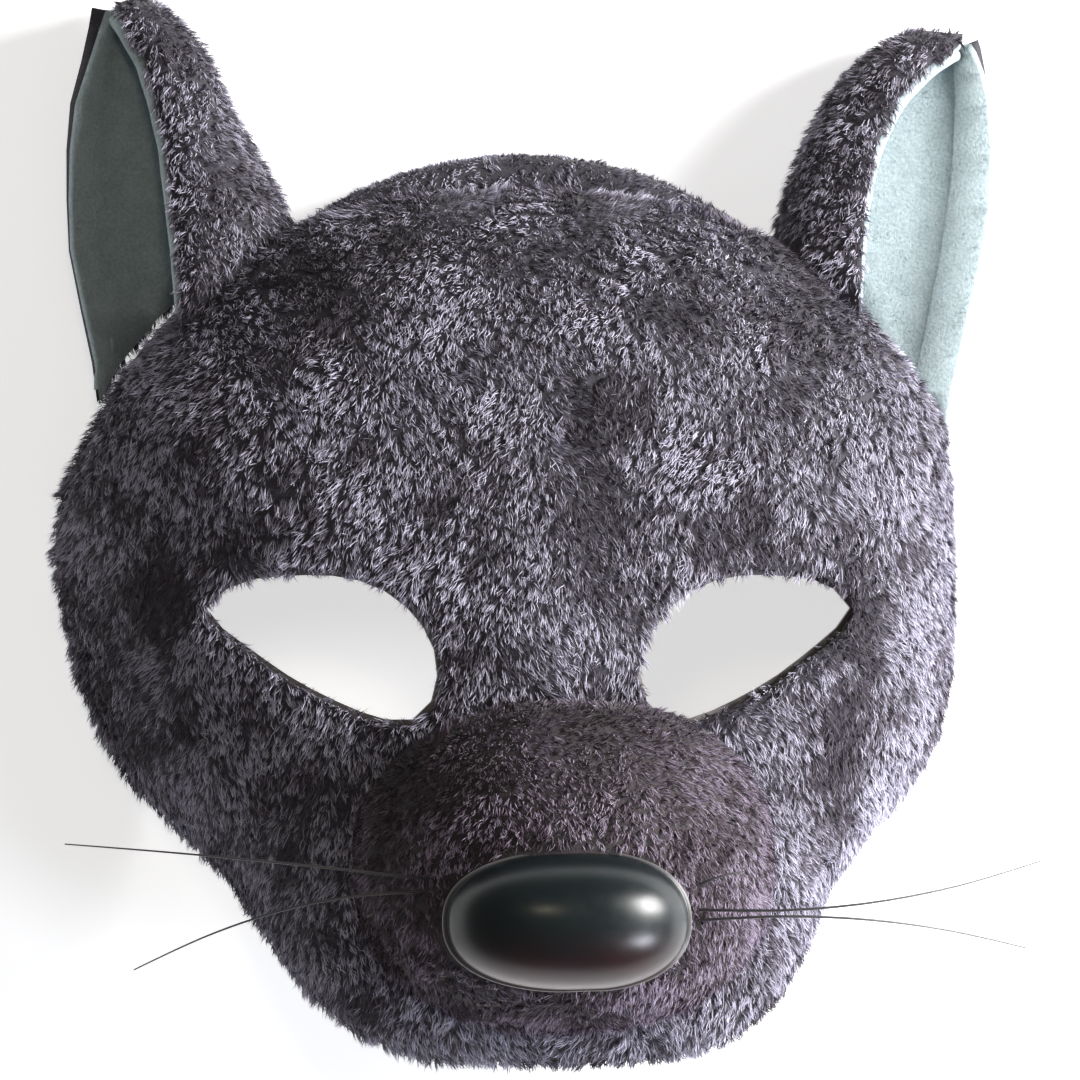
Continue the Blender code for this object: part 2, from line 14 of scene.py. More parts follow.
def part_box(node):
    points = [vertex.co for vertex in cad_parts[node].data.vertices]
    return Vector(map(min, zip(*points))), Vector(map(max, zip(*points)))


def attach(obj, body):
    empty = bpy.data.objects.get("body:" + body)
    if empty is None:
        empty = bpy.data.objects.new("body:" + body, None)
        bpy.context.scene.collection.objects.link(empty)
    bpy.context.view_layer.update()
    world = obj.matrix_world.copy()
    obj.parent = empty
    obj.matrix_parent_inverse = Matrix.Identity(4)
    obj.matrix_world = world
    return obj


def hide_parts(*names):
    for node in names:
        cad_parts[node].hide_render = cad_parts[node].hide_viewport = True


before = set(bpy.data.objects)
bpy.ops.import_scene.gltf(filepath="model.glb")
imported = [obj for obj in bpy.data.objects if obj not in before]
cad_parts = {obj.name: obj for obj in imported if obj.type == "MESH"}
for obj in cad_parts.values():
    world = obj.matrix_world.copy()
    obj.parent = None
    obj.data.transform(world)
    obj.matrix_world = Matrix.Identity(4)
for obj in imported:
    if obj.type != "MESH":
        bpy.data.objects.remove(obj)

LOG = logging.getLogger("rat_mask")
MM = 0.001
NOISE_SEED = 7
SMOOTH_BELOW = math.radians(50)
NOSE_SQUARENESS = 2.35
Colour = tuple[float, float, float]


class Side(Enum):
    """Which side of the mask, as the viewer sees it."""

    LEFT = -1
    RIGHT = 1


class Nap(Enum):
    """The way that a pile is brushed, before its swirls."""

    DOWN = (0.0, -1.0, 0.0)
    UP = (0.0, 1.0, 0.0)
    FORWARD = (0.0, 0.0, 1.0)


@dataclass(frozen=True)
class Datum:
    """Where the chin's lowest point and the mask's middle line lie in the row's frame."""

    band_shift: float = 3.0 * MM

    def middle_x(self) -> float:
        """X of the mask's middle line."""
        low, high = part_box("headband")
        return (low.x + high.x) / 2 - self.band_shift

    def chin_y(self) -> float:
        """Y of the chin's lowest point."""
        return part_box("face_fur")[0].y

    def place(self, x: float, y: float) -> tuple[float, float]:
        """A place on the mask, in the row's frame.

        Args:
            x: millimetres to the right of the middle line.
            y: millimetres above the chin.
        Returns:
            X and Y in metres.
        """
        return self.middle_x() + x * MM, self.chin_y() + y * MM


def only(obj: bpy.types.Object) -> bpy.types.Object:
    """Selects this object alone and makes it active.

    Args:
        obj: the object to work on.
    Returns:
        The same object.
    """
    bpy.ops.object.select_all(action="DESELECT")
    obj.select_set(True)
    bpy.context.view_layer.objects.active = obj
    return obj


def dress(obj: bpy.types.Object, name: str, material: bpy.types.Material) -> bpy.types.Object:
    """Names a piece, gives it one finish and lets it ride on the mask.

    Args:
        obj: the finished piece.
        name: its name.
        material: its finish.
    Returns:
        The same object.
    """
    obj.name = name
    obj.data.name = name
    obj.data.materials.clear()
    obj.data.materials.append(material)
    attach(obj, "root")
    return obj


def merged_copy(node: str) -> bpy.types.Object:
    """A copy of a solid whose loose triangles are joined.

    Args:
        node: the solid's name.
    Returns:
        The new object.
    """
    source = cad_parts[node]
    made = bpy.data.objects.new(node + "_copy", source.data.copy())
    bpy.context.scene.collection.objects.link(made)
    only(made)
    bpy.ops.object.mode_set(mode="EDIT")
    bpy.ops.mesh.select_all(action="SELECT")
    bpy.ops.mesh.remove_doubles(threshold=0.00001)
    bpy.ops.object.mode_set(mode="OBJECT")
    bpy.ops.object.shade_smooth_by_angle(angle=SMOOTH_BELOW)
    return made


def apply_modifiers(obj: bpy.types.Object) -> None:
    """Applies every modifier of a piece, in order.

    Args:
        obj: the piece.
    """
    only(obj)
    for modifier in list(obj.modifiers):
        bpy.ops.object.modifier_apply(modifier=modifier.name)


def unit(vectors: np.ndarray) -> np.ndarray:
    """Vectors scaled to length one.

    Args:
        vectors: one a row.
    Returns:
        The scaled vectors.
    """
    return vectors / np.maximum(np.linalg.norm(vectors, axis=1, keepdims=True), 1e-12)


def soft_noise(points: np.ndarray, size: float, seed: float) -> np.ndarray:
    """Smooth vector noise at points.

    Args:
        points: places, one a row.
        size: the size of its waves, in metres.
        seed: which noise.
    Returns:
        A vector a row, about -1 to 1.
    """
    shift = Vector((seed, 1.7 * seed, -0.6 * seed))
    return np.array([noise.noise_vector(Vector(p) / size + shift) for p in points])


@dataclass
class Skin:
    """The side of a piece that a pile grows on."""

    points: np.ndarray
    triangles: np.ndarray
    normals: np.ndarray
    areas: np.ndarray

    @classmethod
    def of_piece(cls, obj: bpy.types.Object, lining: Optional[str] = None,
                 off: float = 1.7 * MM) -> "Skin":
        """The triangles of a piece that lie away from what lines it.

        Args:
            obj: the piece.
            lining: the node under it, or None for its whole surface.
            off: how far from the lining a triangle's middle has to be.
        Returns:
            The skin.
        """
        build = bmesh.new()
        build.from_mesh(obj.data)
        bmesh.ops.triangulate(build, faces=build.faces)
        build.normal_update()
        points = np.array([v.co[:] for v in build.verts])
        normals = np.array([v.normal[:] for v in build.verts])
        under = None
        if lining:
            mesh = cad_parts[lining].data
            under = BVHTree.FromPolygons([v.co for v in mesh.vertices],
                                         [tuple(p.vertices) for p in mesh.polygons])
        kept = []
        areas = []
        for face in build.faces:
            if under and under.find_nearest(face.calc_center_median())[3] < off:
                continue
            kept.append([v.index for v in face.verts])
            areas.append(face.calc_area())
        build.free()
        return cls(points, np.array(kept), normals, np.array(areas))

    def area(self) -> float:
        """Its area in square metres."""
        return float(self.areas.sum())

    def scatter(self, count: int, rng: np.random.Generator) -> tuple[np.ndarray, np.ndarray]:
        """Places spread evenly over the skin.

        Args:
            count: how many.
            rng: the seeded source of chance.
        Returns:
            The places and the normals there.
        """
        chosen = rng.choice(len(self.triangles), size=count, p=self.areas / self.areas.sum())
        a, b = rng.random((2, count))
        over = a + b > 1
        a[over], b[over] = 1 - a[over], 1 - b[over]
        weights = np.stack([1 - a - b, a, b], axis=1)[:, :, None]
        corners = self.triangles[chosen]
        return (self.points[corners] * weights).sum(1), unit((self.normals[corners] * weights).sum(1))


@dataclass(frozen=True)
class Patch:
    """A soft spot where the pile is painted lighter or darker, in millimetres from the chin; some stand for
    painted light and shade.
    """

    x: float
    y: float
    wide: float
    high: float
    tone: float


@dataclass(frozen=True)
class Wave:
    """One size of the mottling in a pile's tone."""

    share: float
    size: float
    start: float
    axis: int
    own: bool = True


MOTTLING = (
    Wave(0.50, 9 * MM, 3.1, 0),
    Wave(0.30, 22 * MM, 7.9, 1, own=False),
    Wave(0.35, 3.6 * MM, 1.3, 2),
)


@dataclass
class Pile:
    """Short strands on a skin, gathered into tufts."""

    density: float = 4.6
    tuft: float = 1.5 * MM
    length: float = 3.1 * MM
    width: float = 0.22 * MM
    sink: float = 0.6 * MM
    lean: tuple[float, float] = (0.60, 1.15)
    clump: float = 0.65
    swirl: float = 1.0
    swirl_size: float = 14 * MM
    fine_swirl: float = 0.55
    fine_size: float = 3.5 * MM
    stray: float = 0.30
    turn: float = 0.55
    nap: Nap = Nap.DOWN
    patches: Sequence[Patch] = ()
    blade: int = 2
    seed: int = 1

    def tones(self, at: np.ndarray) -> np.ndarray:
        """How light the pile is at places.

        Args:
            at: the places, one a row.
        Returns:
            A tone a row: 0 dark, 0.5 plain, 1 light.
        """
        datum = Datum()
        mottle = np.zeros(len(at))
        for wave in MOTTLING:
            start = wave.start + (self.seed if wave.own else 0)
            mottle += wave.share * soft_noise(at, wave.size, start)[:, wave.axis]
        found = 0.5 + mottle
        for patch in self.patches:
            x, y = datum.place(patch.x, patch.y)
            across = (at[:, 0] - x) / (patch.wide * MM)
            up = (at[:, 1] - y) / (patch.high * MM)
            found += patch.tone * np.exp(-across ** 2 - up ** 2)
        return np.clip(found, 0.0, 1.0)

    def grow(self, skin: Skin,
             clear: Optional[Callable[[np.ndarray, np.ndarray], np.ndarray]] = None) -> dict:
        """Works out every strand.

        Args:
            skin: what they grow on.
            clear: says which strands to keep, from their roots and tips.
        Returns:
            The corners of every strand and its values.
        """
        rng = np.random.default_rng(self.seed)
        count = int(skin.area() * 1e6 * self.density)
        roots, normals = skin.scatter(count, rng)
        tuft_at, tuft_normals = skin.scatter(max(int(skin.area() / self.tuft ** 2), 8), rng)
        comb = np.array(self.nap.value) + self.swirl * soft_noise(tuft_at, self.swirl_size, self.seed)
        comb += self.fine_swirl * self.swirl * soft_noise(tuft_at, self.fine_size, self.seed + 5.3)
        comb = unit(comb - (comb * tuft_normals).sum(1, keepdims=True) * tuft_normals)
        lean = rng.uniform(*self.lean, len(tuft_at))
        tuft_long = rng.uniform(0.8, 1.15, len(tuft_at))
        tuft_tone = np.clip(self.tones(tuft_at) + rng.normal(0.0, 0.12, len(tuft_at)), 0.0, 1.0)
        tree = kdtree.KDTree(len(tuft_at))
        for k, spot in enumerate(tuft_at):
            tree.insert(spot, k)
        tree.balance()
        near = np.array([tree.find(spot)[1] for spot in roots])

        way = unit(comb[near] + self.stray * rng.normal(size=(count, 3)))
        way = unit(way - (way * normals).sum(1, keepdims=True) * normals)
        angle = (lean[near] + rng.normal(0.0, 0.14, count))[:, None]
        size = (self.length * tuft_long[near] * rng.uniform(0.75, 1.1, count))[:, None]
        low_way = normals * np.cos(0.6 * angle) + way * np.sin(0.6 * angle)
        high_way = normals * np.cos(1.25 * angle) + way * np.sin(1.25 * angle)
        start = roots - self.sink * normals
        middle = start + 0.5 * size * low_way
        end = middle + 0.5 * size * high_way
        gather = (tuft_at[near] - roots) * self.clump
        middle += 0.4 * gather
        end += gather
        across = unit(np.cross(high_way, normals) + 0.15 * rng.normal(size=(count, 3)))
        turn = rng.normal(0.0, self.turn, count)[:, None]
        across = across * np.cos(turn) + np.cross(high_way, across) * np.sin(turn)
        half = (0.5 * self.width * rng.uniform(0.75, 1.25, count))[:, None] * across
        foot = 0.9 * half
        corners = np.stack([start - foot, start + foot, middle - half, middle + half, end], axis=1)
        corners[:, :, 2] = np.maximum(corners[:, :, 2], 0.1 * MM)
        keep = np.ones(count, bool)
        if clear:
            keep = clear(roots, end)
        return {"corners": corners[keep], "tone": rng.random(count)[keep], "patch": tuft_tone[near][keep],
                "root_y": roots[keep, 1]}

    def build(self, grown: dict) -> bpy.types.Object:
        """One mesh from strands.

        Args:
            grown: strands from grow.
        Returns:
            The new object.
        """
        corners = grown["corners"]
        count = len(corners)
        if self.blade == 1:
            corners = corners[:, [0, 1, 4]]
            loops = np.array([0, 1, 2])
            starts = np.array([0])
            along = np.array([0.0, 0.0, 1.0])
        else:
            loops = np.array([0, 1, 3, 2, 2, 3, 4])
            starts = np.array([0, 4])
            along = np.array([0.0, 0.0, 0.5, 0.5, 1.0])
        per = corners.shape[1]
        mesh = bpy.data.meshes.new("pile")
        mesh.vertices.add(count * per)
        mesh.vertices.foreach_set("co", corners.astype(np.float32).ravel())
        mesh.loops.add(count * len(loops))
        index = (np.arange(count)[:, None] * per + loops[None]).astype(np.int32)
        mesh.loops.foreach_set("vertex_index", index.ravel())
        mesh.polygons.add(count * len(starts))
        first = (np.arange(count)[:, None] * len(loops) + starts[None]).astype(np.int32)
        mesh.polygons.foreach_set("loop_start", first.ravel())
        mesh.update(calc_edges=True)
        mesh.shade_smooth()
        for word, values in (("along", np.tile(along, count)), ("tone", np.repeat(grown["tone"], per)),
                             ("patch", np.repeat(grown["patch"], per))):
            layer = mesh.attributes.new(word, "FLOAT", "POINT")
            layer.data.foreach_set("value", values.astype(np.float32))
        made = bpy.data.objects.new("pile", mesh)
        bpy.context.scene.collection.objects.link(made)
        return made


def new_group(name: str, inputs: dict, outputs: dict) -> bpy.types.NodeTree:
    """An empty shader group with named sockets.

    Args:
        name: the group's name.
        inputs: socket type and start value by name.
        outputs: socket type by name.
    Returns:
        The group.
    """
    tree = bpy.data.node_groups.new(name, "ShaderNodeTree")
    for word, (kind, value) in inputs.items():
        made = tree.interface.new_socket(word, in_out="INPUT", socket_type=kind)
        made.default_value = value
    for word, kind in outputs.items():
        tree.interface.new_socket(word, in_out="OUTPUT", socket_type=kind)
    tree.nodes.new("NodeGroupInput").name = "in"
    tree.nodes.new("NodeGroupOutput").name = "out"
    return tree


def math_node(tree: bpy.types.NodeTree, operation: str, first: object, second: object,
              clamp: bool = False) -> object:
    """A Math node.

    Args:
        tree: where it goes.
        operation: what it does.
        first: a socket or a number.
        second: a socket or a number.
        clamp: whether its result stays between 0 and 1.
    Returns:
        Its output socket.
    """
    made = tree.nodes.new("ShaderNodeMath")
    made.operation = operation
    made.use_clamp = clamp
    for socket, value in zip(made.inputs, (first, second)):
        if isinstance(value, (int, float)):
            socket.default_value = value
        else:
            tree.links.new(value, socket)
    return made.outputs[0]


def mix_colour(tree: bpy.types.NodeTree, share: object, first: object, second: object) -> object:
    """A colour mix.

    Args:
        tree: where it goes.
        share: a socket or a number, how much of second.
        first: a socket or a colour.
        second: a socket or a colour.
    Returns:
        Its colour socket.
    """
    made = tree.nodes.new("ShaderNodeMix")
    made.data_type = "RGBA"
    for socket, value in ((made.inputs[0], share), (made.inputs[6], first), (made.inputs[7], second)):
        if isinstance(value, (int, float)):
            socket.default_value = value
        elif isinstance(value, tuple):
            socket.default_value = (*value, 1.0)
        else:
            tree.links.new(value, socket)
    return made.outputs[2]


def noise_value(tree: bpy.types.NodeTree, scale: float, detail: float) -> object:
    """Noise on Object coordinates.

    Args:
        tree: where it goes.
        scale: its scale.
        detail: its detail.
    Returns:
        Its socket.
    """
    at = tree.nodes.new("ShaderNodeTexCoord")
    made = tree.nodes.new("ShaderNodeTexNoise")
    made.inputs["Scale"].default_value = scale
    made.inputs["Detail"].default_value = detail
    tree.links.new(at.outputs["Object"], made.inputs["Vector"])
    return made.outputs["Fac"]


def pile_group() -> bpy.types.NodeTree:
    """The colour of a strand, from root to tip, made once."""
    found = bpy.data.node_groups.get("pile_colour")
    if found:
        return found
    grey = (0.2, 0.2, 0.2, 1.0)
    tree = new_group(
        "pile_colour",
        {"Root": ("NodeSocketColor", grey), "Middle": ("NodeSocketColor", grey),
         "Tip": ("NodeSocketColor", grey), "Along": ("NodeSocketFloat", 0.5),
         "Tone": ("NodeSocketFloat", 0.5), "Patch": ("NodeSocketFloat", 0.5)},
        {"Color": "NodeSocketColor"})
    source = tree.nodes["in"].outputs
    to_middle = math_node(tree, "MULTIPLY", source["Along"], 1.8, clamp=True)
    spread = math_node(tree, "MULTIPLY", source["Patch"], 1.1)
    spread = math_node(tree, "ADD", spread, 0.35, clamp=True)
    to_middle = math_node(tree, "MULTIPLY", to_middle, spread, clamp=True)
    body = mix_colour(tree, to_middle, source["Root"], source["Middle"])
    light = math_node(tree, "MULTIPLY", source["Patch"], 1.5)
    light = math_node(tree, "SUBTRACT", light, source["Tone"])
    light = math_node(tree, "MULTIPLY", light, 2.0)
    light = math_node(tree, "ADD", light, 0.08, clamp=True)
    reach = math_node(tree, "SUBTRACT", source["Along"], 0.25, clamp=True)
    reach = math_node(tree, "MULTIPLY", reach, 1.6, clamp=True)
    share = math_node(tree, "MULTIPLY", reach, light, clamp=True)
    tree.links.new(mix_colour(tree, share, body, source["Tip"]), tree.nodes["out"].inputs["Color"])
    return tree


def grain_group() -> bpy.types.NodeTree:
    """Two sizes of noise as one height, made once."""
    found = bpy.data.node_groups.get("surface_grain")
    if found:
        return found
    tree = new_group(
        "surface_grain",
        {"Fine": ("NodeSocketFloat", 2500.0), "Broad": ("NodeSocketFloat", 250.0),
         "Share": ("NodeSocketFloat", 0.4)},
        {"Height": "NodeSocketFloat"})
    source = tree.nodes["in"].outputs
    at = tree.nodes.new("ShaderNodeTexCoord")
    values = []
    for word in ("Fine", "Broad"):
        made = tree.nodes.new("ShaderNodeTexNoise")
        made.inputs["Detail"].default_value = 3.0
        tree.links.new(at.outputs["Object"], made.inputs["Vector"])
        tree.links.new(source[word], made.inputs["Scale"])
        values.append(made.outputs["Fac"])
    mixed = tree.nodes.new("ShaderNodeMix")
    tree.links.new(source["Share"], mixed.inputs[0])
    tree.links.new(values[0], mixed.inputs[2])
    tree.links.new(values[1], mixed.inputs[3])
    tree.links.new(mixed.outputs[0], tree.nodes["out"].inputs["Height"])
    return tree


@dataclass(frozen=True)
class Finish:
    """What every finish has: a name and a Principled shader."""

    name: str
    roughness: float = 0.8

    def start(self) -> tuple[bpy.types.Material, bpy.types.NodeTree, bpy.types.Node]:
        """A new material, its tree and its shader."""
        made = bpy.data.materials.new(self.name)
        made.use_nodes = True
        shader = made.node_tree.nodes["Principled BSDF"]
        shader.inputs["Roughness"].default_value = self.roughness
        return made, made.node_tree, shader

    def add_grain(self, tree: bpy.types.NodeTree, shader: bpy.types.Node, fine: float, broad: float,
                  share: float, strength: float, distance: float) -> object:
        """Adds a grain to the shader's normal.

        Args:
            tree: the material's tree.
            shader: its shader.
            fine: scale of the fine noise.
            broad: scale of the broad noise.
            share: how much of the broad one.
            strength: strength of the relief.
            distance: its depth in metres.
        Returns:
            The height socket.
        """
        grain = tree.nodes.new("ShaderNodeGroup")
        grain.node_tree = grain_group()
        grain.inputs["Fine"].default_value = fine
        grain.inputs["Broad"].default_value = broad
        grain.inputs["Share"].default_value = share
        bump = tree.nodes.new("ShaderNodeBump")
        bump.inputs["Strength"].default_value = strength
        bump.inputs["Distance"].default_value = distance
        tree.links.new(grain.outputs["Height"], bump.inputs["Height"])
        tree.links.new(bump.outputs["Normal"], shader.inputs["Normal"])
        return grain.outputs["Height"]


@dataclass(frozen=True)
class PileFinish(Finish):
    """Strands that go from a dark root to a light tip."""

    root: Colour = (0.018, 0.013, 0.020)
    middle: Colour = (0.135, 0.112, 0.146)
    tip: Colour = (0.60, 0.59, 0.72)
    sheen: float = 0.12

    def material(self) -> bpy.types.Material:
        """The strands' material."""
        made, tree, shader = self.start()
        colour = tree.nodes.new("ShaderNodeGroup")
        colour.node_tree = pile_group()
        for word, value in (("Root", self.root), ("Middle", self.middle), ("Tip", self.tip)):
            colour.inputs[word].default_value = (*value, 1.0)
        for word, socket in (("along", "Along"), ("tone", "Tone"), ("patch", "Patch")):
            read = tree.nodes.new("ShaderNodeAttribute")
            read.attribute_name = word
            tree.links.new(read.outputs["Fac"], colour.inputs[socket])
        tree.links.new(colour.outputs["Color"], shader.inputs["Base Color"])
        shader.inputs["Sheen Weight"].default_value = self.sheen
        shader.inputs["Specular IOR Level"].default_value = 0.35
        return made


@dataclass(frozen=True)
class ClothFinish(Finish):
    """Felt, or the woven ground under a pile."""

    dark: Colour = (0.02, 0.018, 0.024)
    light: Colour = (0.05, 0.045, 0.06)
    fine: float = 2200.0
    broad: float = 300.0
    depth: float = 0.3 * MM
    sheen: float = 0.1

    def material(self) -> bpy.types.Material:
        """The cloth's material."""
        made, tree, shader = self.start()
        height = self.add_grain(tree, shader, self.fine, self.broad, 0.35, 0.7, self.depth)
        ramp = tree.nodes.new("ShaderNodeMapRange")
        ramp.inputs["From Min"].default_value = 0.32
        ramp.inputs["From Max"].default_value = 0.68
        tree.links.new(height, ramp.inputs["Value"])
        colour = mix_colour(tree, ramp.outputs["Result"], self.dark, self.light)
        tree.links.new(colour, shader.inputs["Base Color"])
        shader.inputs["Sheen Weight"].default_value = self.sheen
        return made


@dataclass(frozen=True)
class GlossFinish(Finish):
    """Black moulded plastic with a soft shine, and a painted highlight as a pale band along the parting
    line.
    """

    roughness: float = 0.30
    colour: Colour = (0.004, 0.008, 0.009)
    warm: Colour = (0.026, 0.006, 0.007)
    # Painted highlight: the pale colour of the band along the parting line, where the rim catches the
    # light.
    line: Colour = (0.16, 0.15, 0.15)

    def material(self, middle_y: float, half_y: float, seam: float, line_high: float) -> bpy.types.Material:
        """The button's material.

        Args:
            middle_y: Y of the button's middle.
            half_y: half its height in Y.
            seam: Z of its parting line.
            line_high: how far the painted highlight reaches each way from the parting line.
        Returns:
            The material.
        """
        made, tree, shader = self.start()
        self.add_grain(tree, shader, 900.0, 120.0, 0.7, 0.06, 0.1 * MM)
        at = tree.nodes.new("ShaderNodeTexCoord")
        parts = tree.nodes.new("ShaderNodeSeparateXYZ")
        tree.links.new(at.outputs["Object"], parts.inputs[0])
        low = math_node(tree, "SUBTRACT", middle_y, parts.outputs["Y"])
        low = math_node(tree, "DIVIDE", low, half_y, clamp=True)
        cloud = math_node(tree, "MULTIPLY", low, noise_value(tree, 60.0, 2.0))
        cloud = math_node(tree, "MULTIPLY", cloud, 1.9, clamp=True)
        body = mix_colour(tree, cloud, self.colour, self.warm)
        # Painted highlight: a pale band round the parting line.
        off = math_node(tree, "SUBTRACT", parts.outputs["Z"], seam)
        off = math_node(tree, "ABSOLUTE", off, 0.0)
        off = math_node(tree, "DIVIDE", off, line_high)
        near = math_node(tree, "SUBTRACT", 1.3, off, clamp=True)
        tree.links.new(mix_colour(tree, near, body, self.line), shader.inputs["Base Color"])
        rough = tree.nodes.new("ShaderNodeMapRange")
        rough.inputs["To Min"].default_value = self.roughness - 0.04
        rough.inputs["To Max"].default_value = self.roughness + 0.08
        tree.links.new(noise_value(tree, 400.0, 4.0), rough.inputs["Value"])
        tree.links.new(rough.outputs["Result"], shader.inputs["Roughness"])
        shader.inputs["Specular IOR Level"].default_value = 0.42
        return made


@dataclass(frozen=True)
class ShellFinish(Finish):
    """The moulded base: matte, slightly mottled."""

    roughness: float = 0.55
    dark: Colour = (0.115, 0.10, 0.098)
    light: Colour = (0.19, 0.175, 0.17)

    def material(self) -> bpy.types.Material:
        """The base's material."""
        made, tree, shader = self.start()
        height = self.add_grain(tree, shader, 1500.0, 150.0, 0.4, 0.35, 0.15 * MM)
        tree.links.new(mix_colour(tree, height, self.dark, self.light), shader.inputs["Base Color"])
        return made


@dataclass(frozen=True)
class BristleFinish(Finish):
    """Drawn nylon, darker at its root."""

    roughness: float = 0.3
    dark: Colour = (0.012, 0.010, 0.012)
    light: Colour = (0.08, 0.075, 0.08)

    def material(self) -> bpy.types.Material:
        """The bristle's material."""
        made, tree, shader = self.start()
        read = tree.nodes.new("ShaderNodeAttribute")
        read.attribute_name = "along"
        colour = mix_colour(tree, read.outputs["Fac"], self.dark, self.light)
        tree.links.new(colour, shader.inputs["Base Color"])
        self.add_grain(tree, shader, 3000.0, 600.0, 0.5, 0.2, 0.03 * MM)
        return made


FACE_PATCHES = (
    Patch(-38, 150, 11, 9, -0.45),
    Patch(-12, 157, 12, 5, -0.25),
    Patch(52, 141, 8, 18, -0.55),
    Patch(38, 104, 9, 6, -0.40),
    Patch(9, 104, 9, 6, -0.40),
    Patch(13, 124, 8, 7, -0.30),
    Patch(26, 150, 9, 8, -0.25),
    Patch(-16, 110, 8, 12, -0.25),
    Patch(64, 84, 7, 9, -0.50),
    Patch(62, 66, 7, 9, -0.55),
    Patch(57, 56, 6, 6, -0.40),
    Patch(-68, 92, 9, 9, -0.45),
    # Painted shade: a dark strip along the left edge, where the pile turns under.
    Patch(-74, 66, 7, 16, -0.30),
    Patch(-47, 121, 13, 8, 0.30),
    Patch(26, 112, 6, 13, 0.28),
    Patch(70, 116, 8, 16, 0.45),
    Patch(52, 112, 8, 8, 0.25),
    Patch(78, 84, 6, 12, 0.40),
    Patch(71, 52, 7, 14, 0.45),
    Patch(52, 36, 8, 12, 0.35),
    Patch(6, 84, 11, 10, 0.38),
    Patch(40, 60, 12, 5, 0.25),
    Patch(-33, 62, 10, 6, 0.22),
    Patch(-50, 74, 7, 5, 0.22),
    Patch(-20, 3, 14, 3, 0.30),
)

# Mostly painted light and shade on the muzzle: a lit spot on top, a darker left side in shade, a dark
# crease along the lower edge and a lighter right side.
MUZZLE_LIGHT_AND_SHADE_SPOTS = (
    Patch(-2, 61, 8, 6, 0.45),
    Patch(-22, 56, 12, 10, -0.30),
    Patch(16, 60, 12, 7, -0.12),
    Patch(-28, 32, 9, 18, -0.35),
    Patch(30, 52, 9, 9, 0.12),
    Patch(38, 30, 7, 14, 0.15),
    Patch(0, 10, 24, 6, -0.30),
    Patch(24, 12, 6, 6, 0.25),
)


def declare_sheet(cloth: bpy.types.Object, flat: tuple[float, float]) -> None:
    """Logs the area that a plush or felt piece covers, as half the area of its closed wall.

    Args:
        cloth: the closed wall of cloth.
        flat: width and length of what it was cut from.
    """
    area = sum(face.area for face in cloth.data.polygons) / 2
    LOG.info("%s covers %.4f square metres", cloth.name, area)
    area = min(area, flat[0] * flat[1])


@dataclass
class PlushFace:
    """The plush that covers the face, with its pile."""

    flat: tuple[float, float] = (0.215, 0.205)
    pile: Pile = field(default_factory=lambda: Pile(patches=FACE_PATCHES, seed=11))
    ground: ClothFinish = ClothFinish("face_ground")
    finish: PileFinish = PileFinish("face_strands")
    bands: int = 3

    def build(self) -> list[bpy.types.Object]:
        """The plush's ground and its strands, in bands from chin to brow."""
        cloth = dress(merged_copy("face_fur"), "face_plush_ground", self.ground.material())
        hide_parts("face_fur")
        grown = self.pile.grow(Skin.of_piece(cloth, "face_base"))
        edges = np.quantile(grown["root_y"], np.linspace(0, 1, self.bands + 1))
        edges[-1] += 1.0
        material = self.finish.material()
        pieces = []
        for k in range(self.bands):
            inside = (grown["root_y"] >= edges[k]) & (grown["root_y"] < edges[k + 1])
            part = {word: values[inside] for word, values in grown.items()}
            pieces.append(dress(self.pile.build(part), f"face_pile_{k + 1}", material))
        declare_sheet(cloth, self.flat)
        return [cloth, *pieces]


@dataclass
class PlushMuzzle:
    """The darker plush over the snout."""

    flat: tuple[float, float] = (0.125, 0.10)
    pile: Pile = field(default_factory=lambda: Pile(
        seed=23, length=2.7 * MM, tuft=1.3 * MM, patches=MUZZLE_LIGHT_AND_SHADE_SPOTS))
    ground: ClothFinish = ClothFinish("muzzle_ground", dark=(0.012, 0.008, 0.010),
                                      light=(0.035, 0.025, 0.03))
    finish: PileFinish = PileFinish("muzzle_strands", root=(0.012, 0.007, 0.010),
                                    middle=(0.085, 0.055, 0.075), tip=(0.40, 0.34, 0.45))
    nose_share: float = 0.93

    def off_nose(self, roots: np.ndarray, ends: np.ndarray) -> np.ndarray:
        """Which strands neither start nor end under the nose button.

        Args:
            roots: where they start.
            ends: where they end.
        Returns:
            True for each strand that stays.
        """
        low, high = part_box("nose")
        middle = np.array([(low.x + high.x) / 2, (low.y + high.y) / 2])
        half = np.array([(high.x - low.x) / 2, (high.y - low.y) / 2])
        keep = np.ones(len(roots), bool)
        for spots in (roots, ends):
            away = np.abs(spots[:, :2] - middle) / half
            keep &= (away ** NOSE_SQUARENESS).sum(1) > self.nose_share
        return keep

    def build(self) -> list[bpy.types.Object]:
        """The muzzle's ground and its strands."""
        cloth = dress(merged_copy("muzzle_fur"), "muzzle_plush_ground", self.ground.material())
        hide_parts("muzzle_fur")
        grown = self.pile.grow(Skin.of_piece(cloth, "face_base"), self.off_nose)
        strands = dress(self.pile.build(grown), "muzzle_pile", self.finish.material())
        declare_sheet(cloth, self.flat)
        return [cloth, strands]


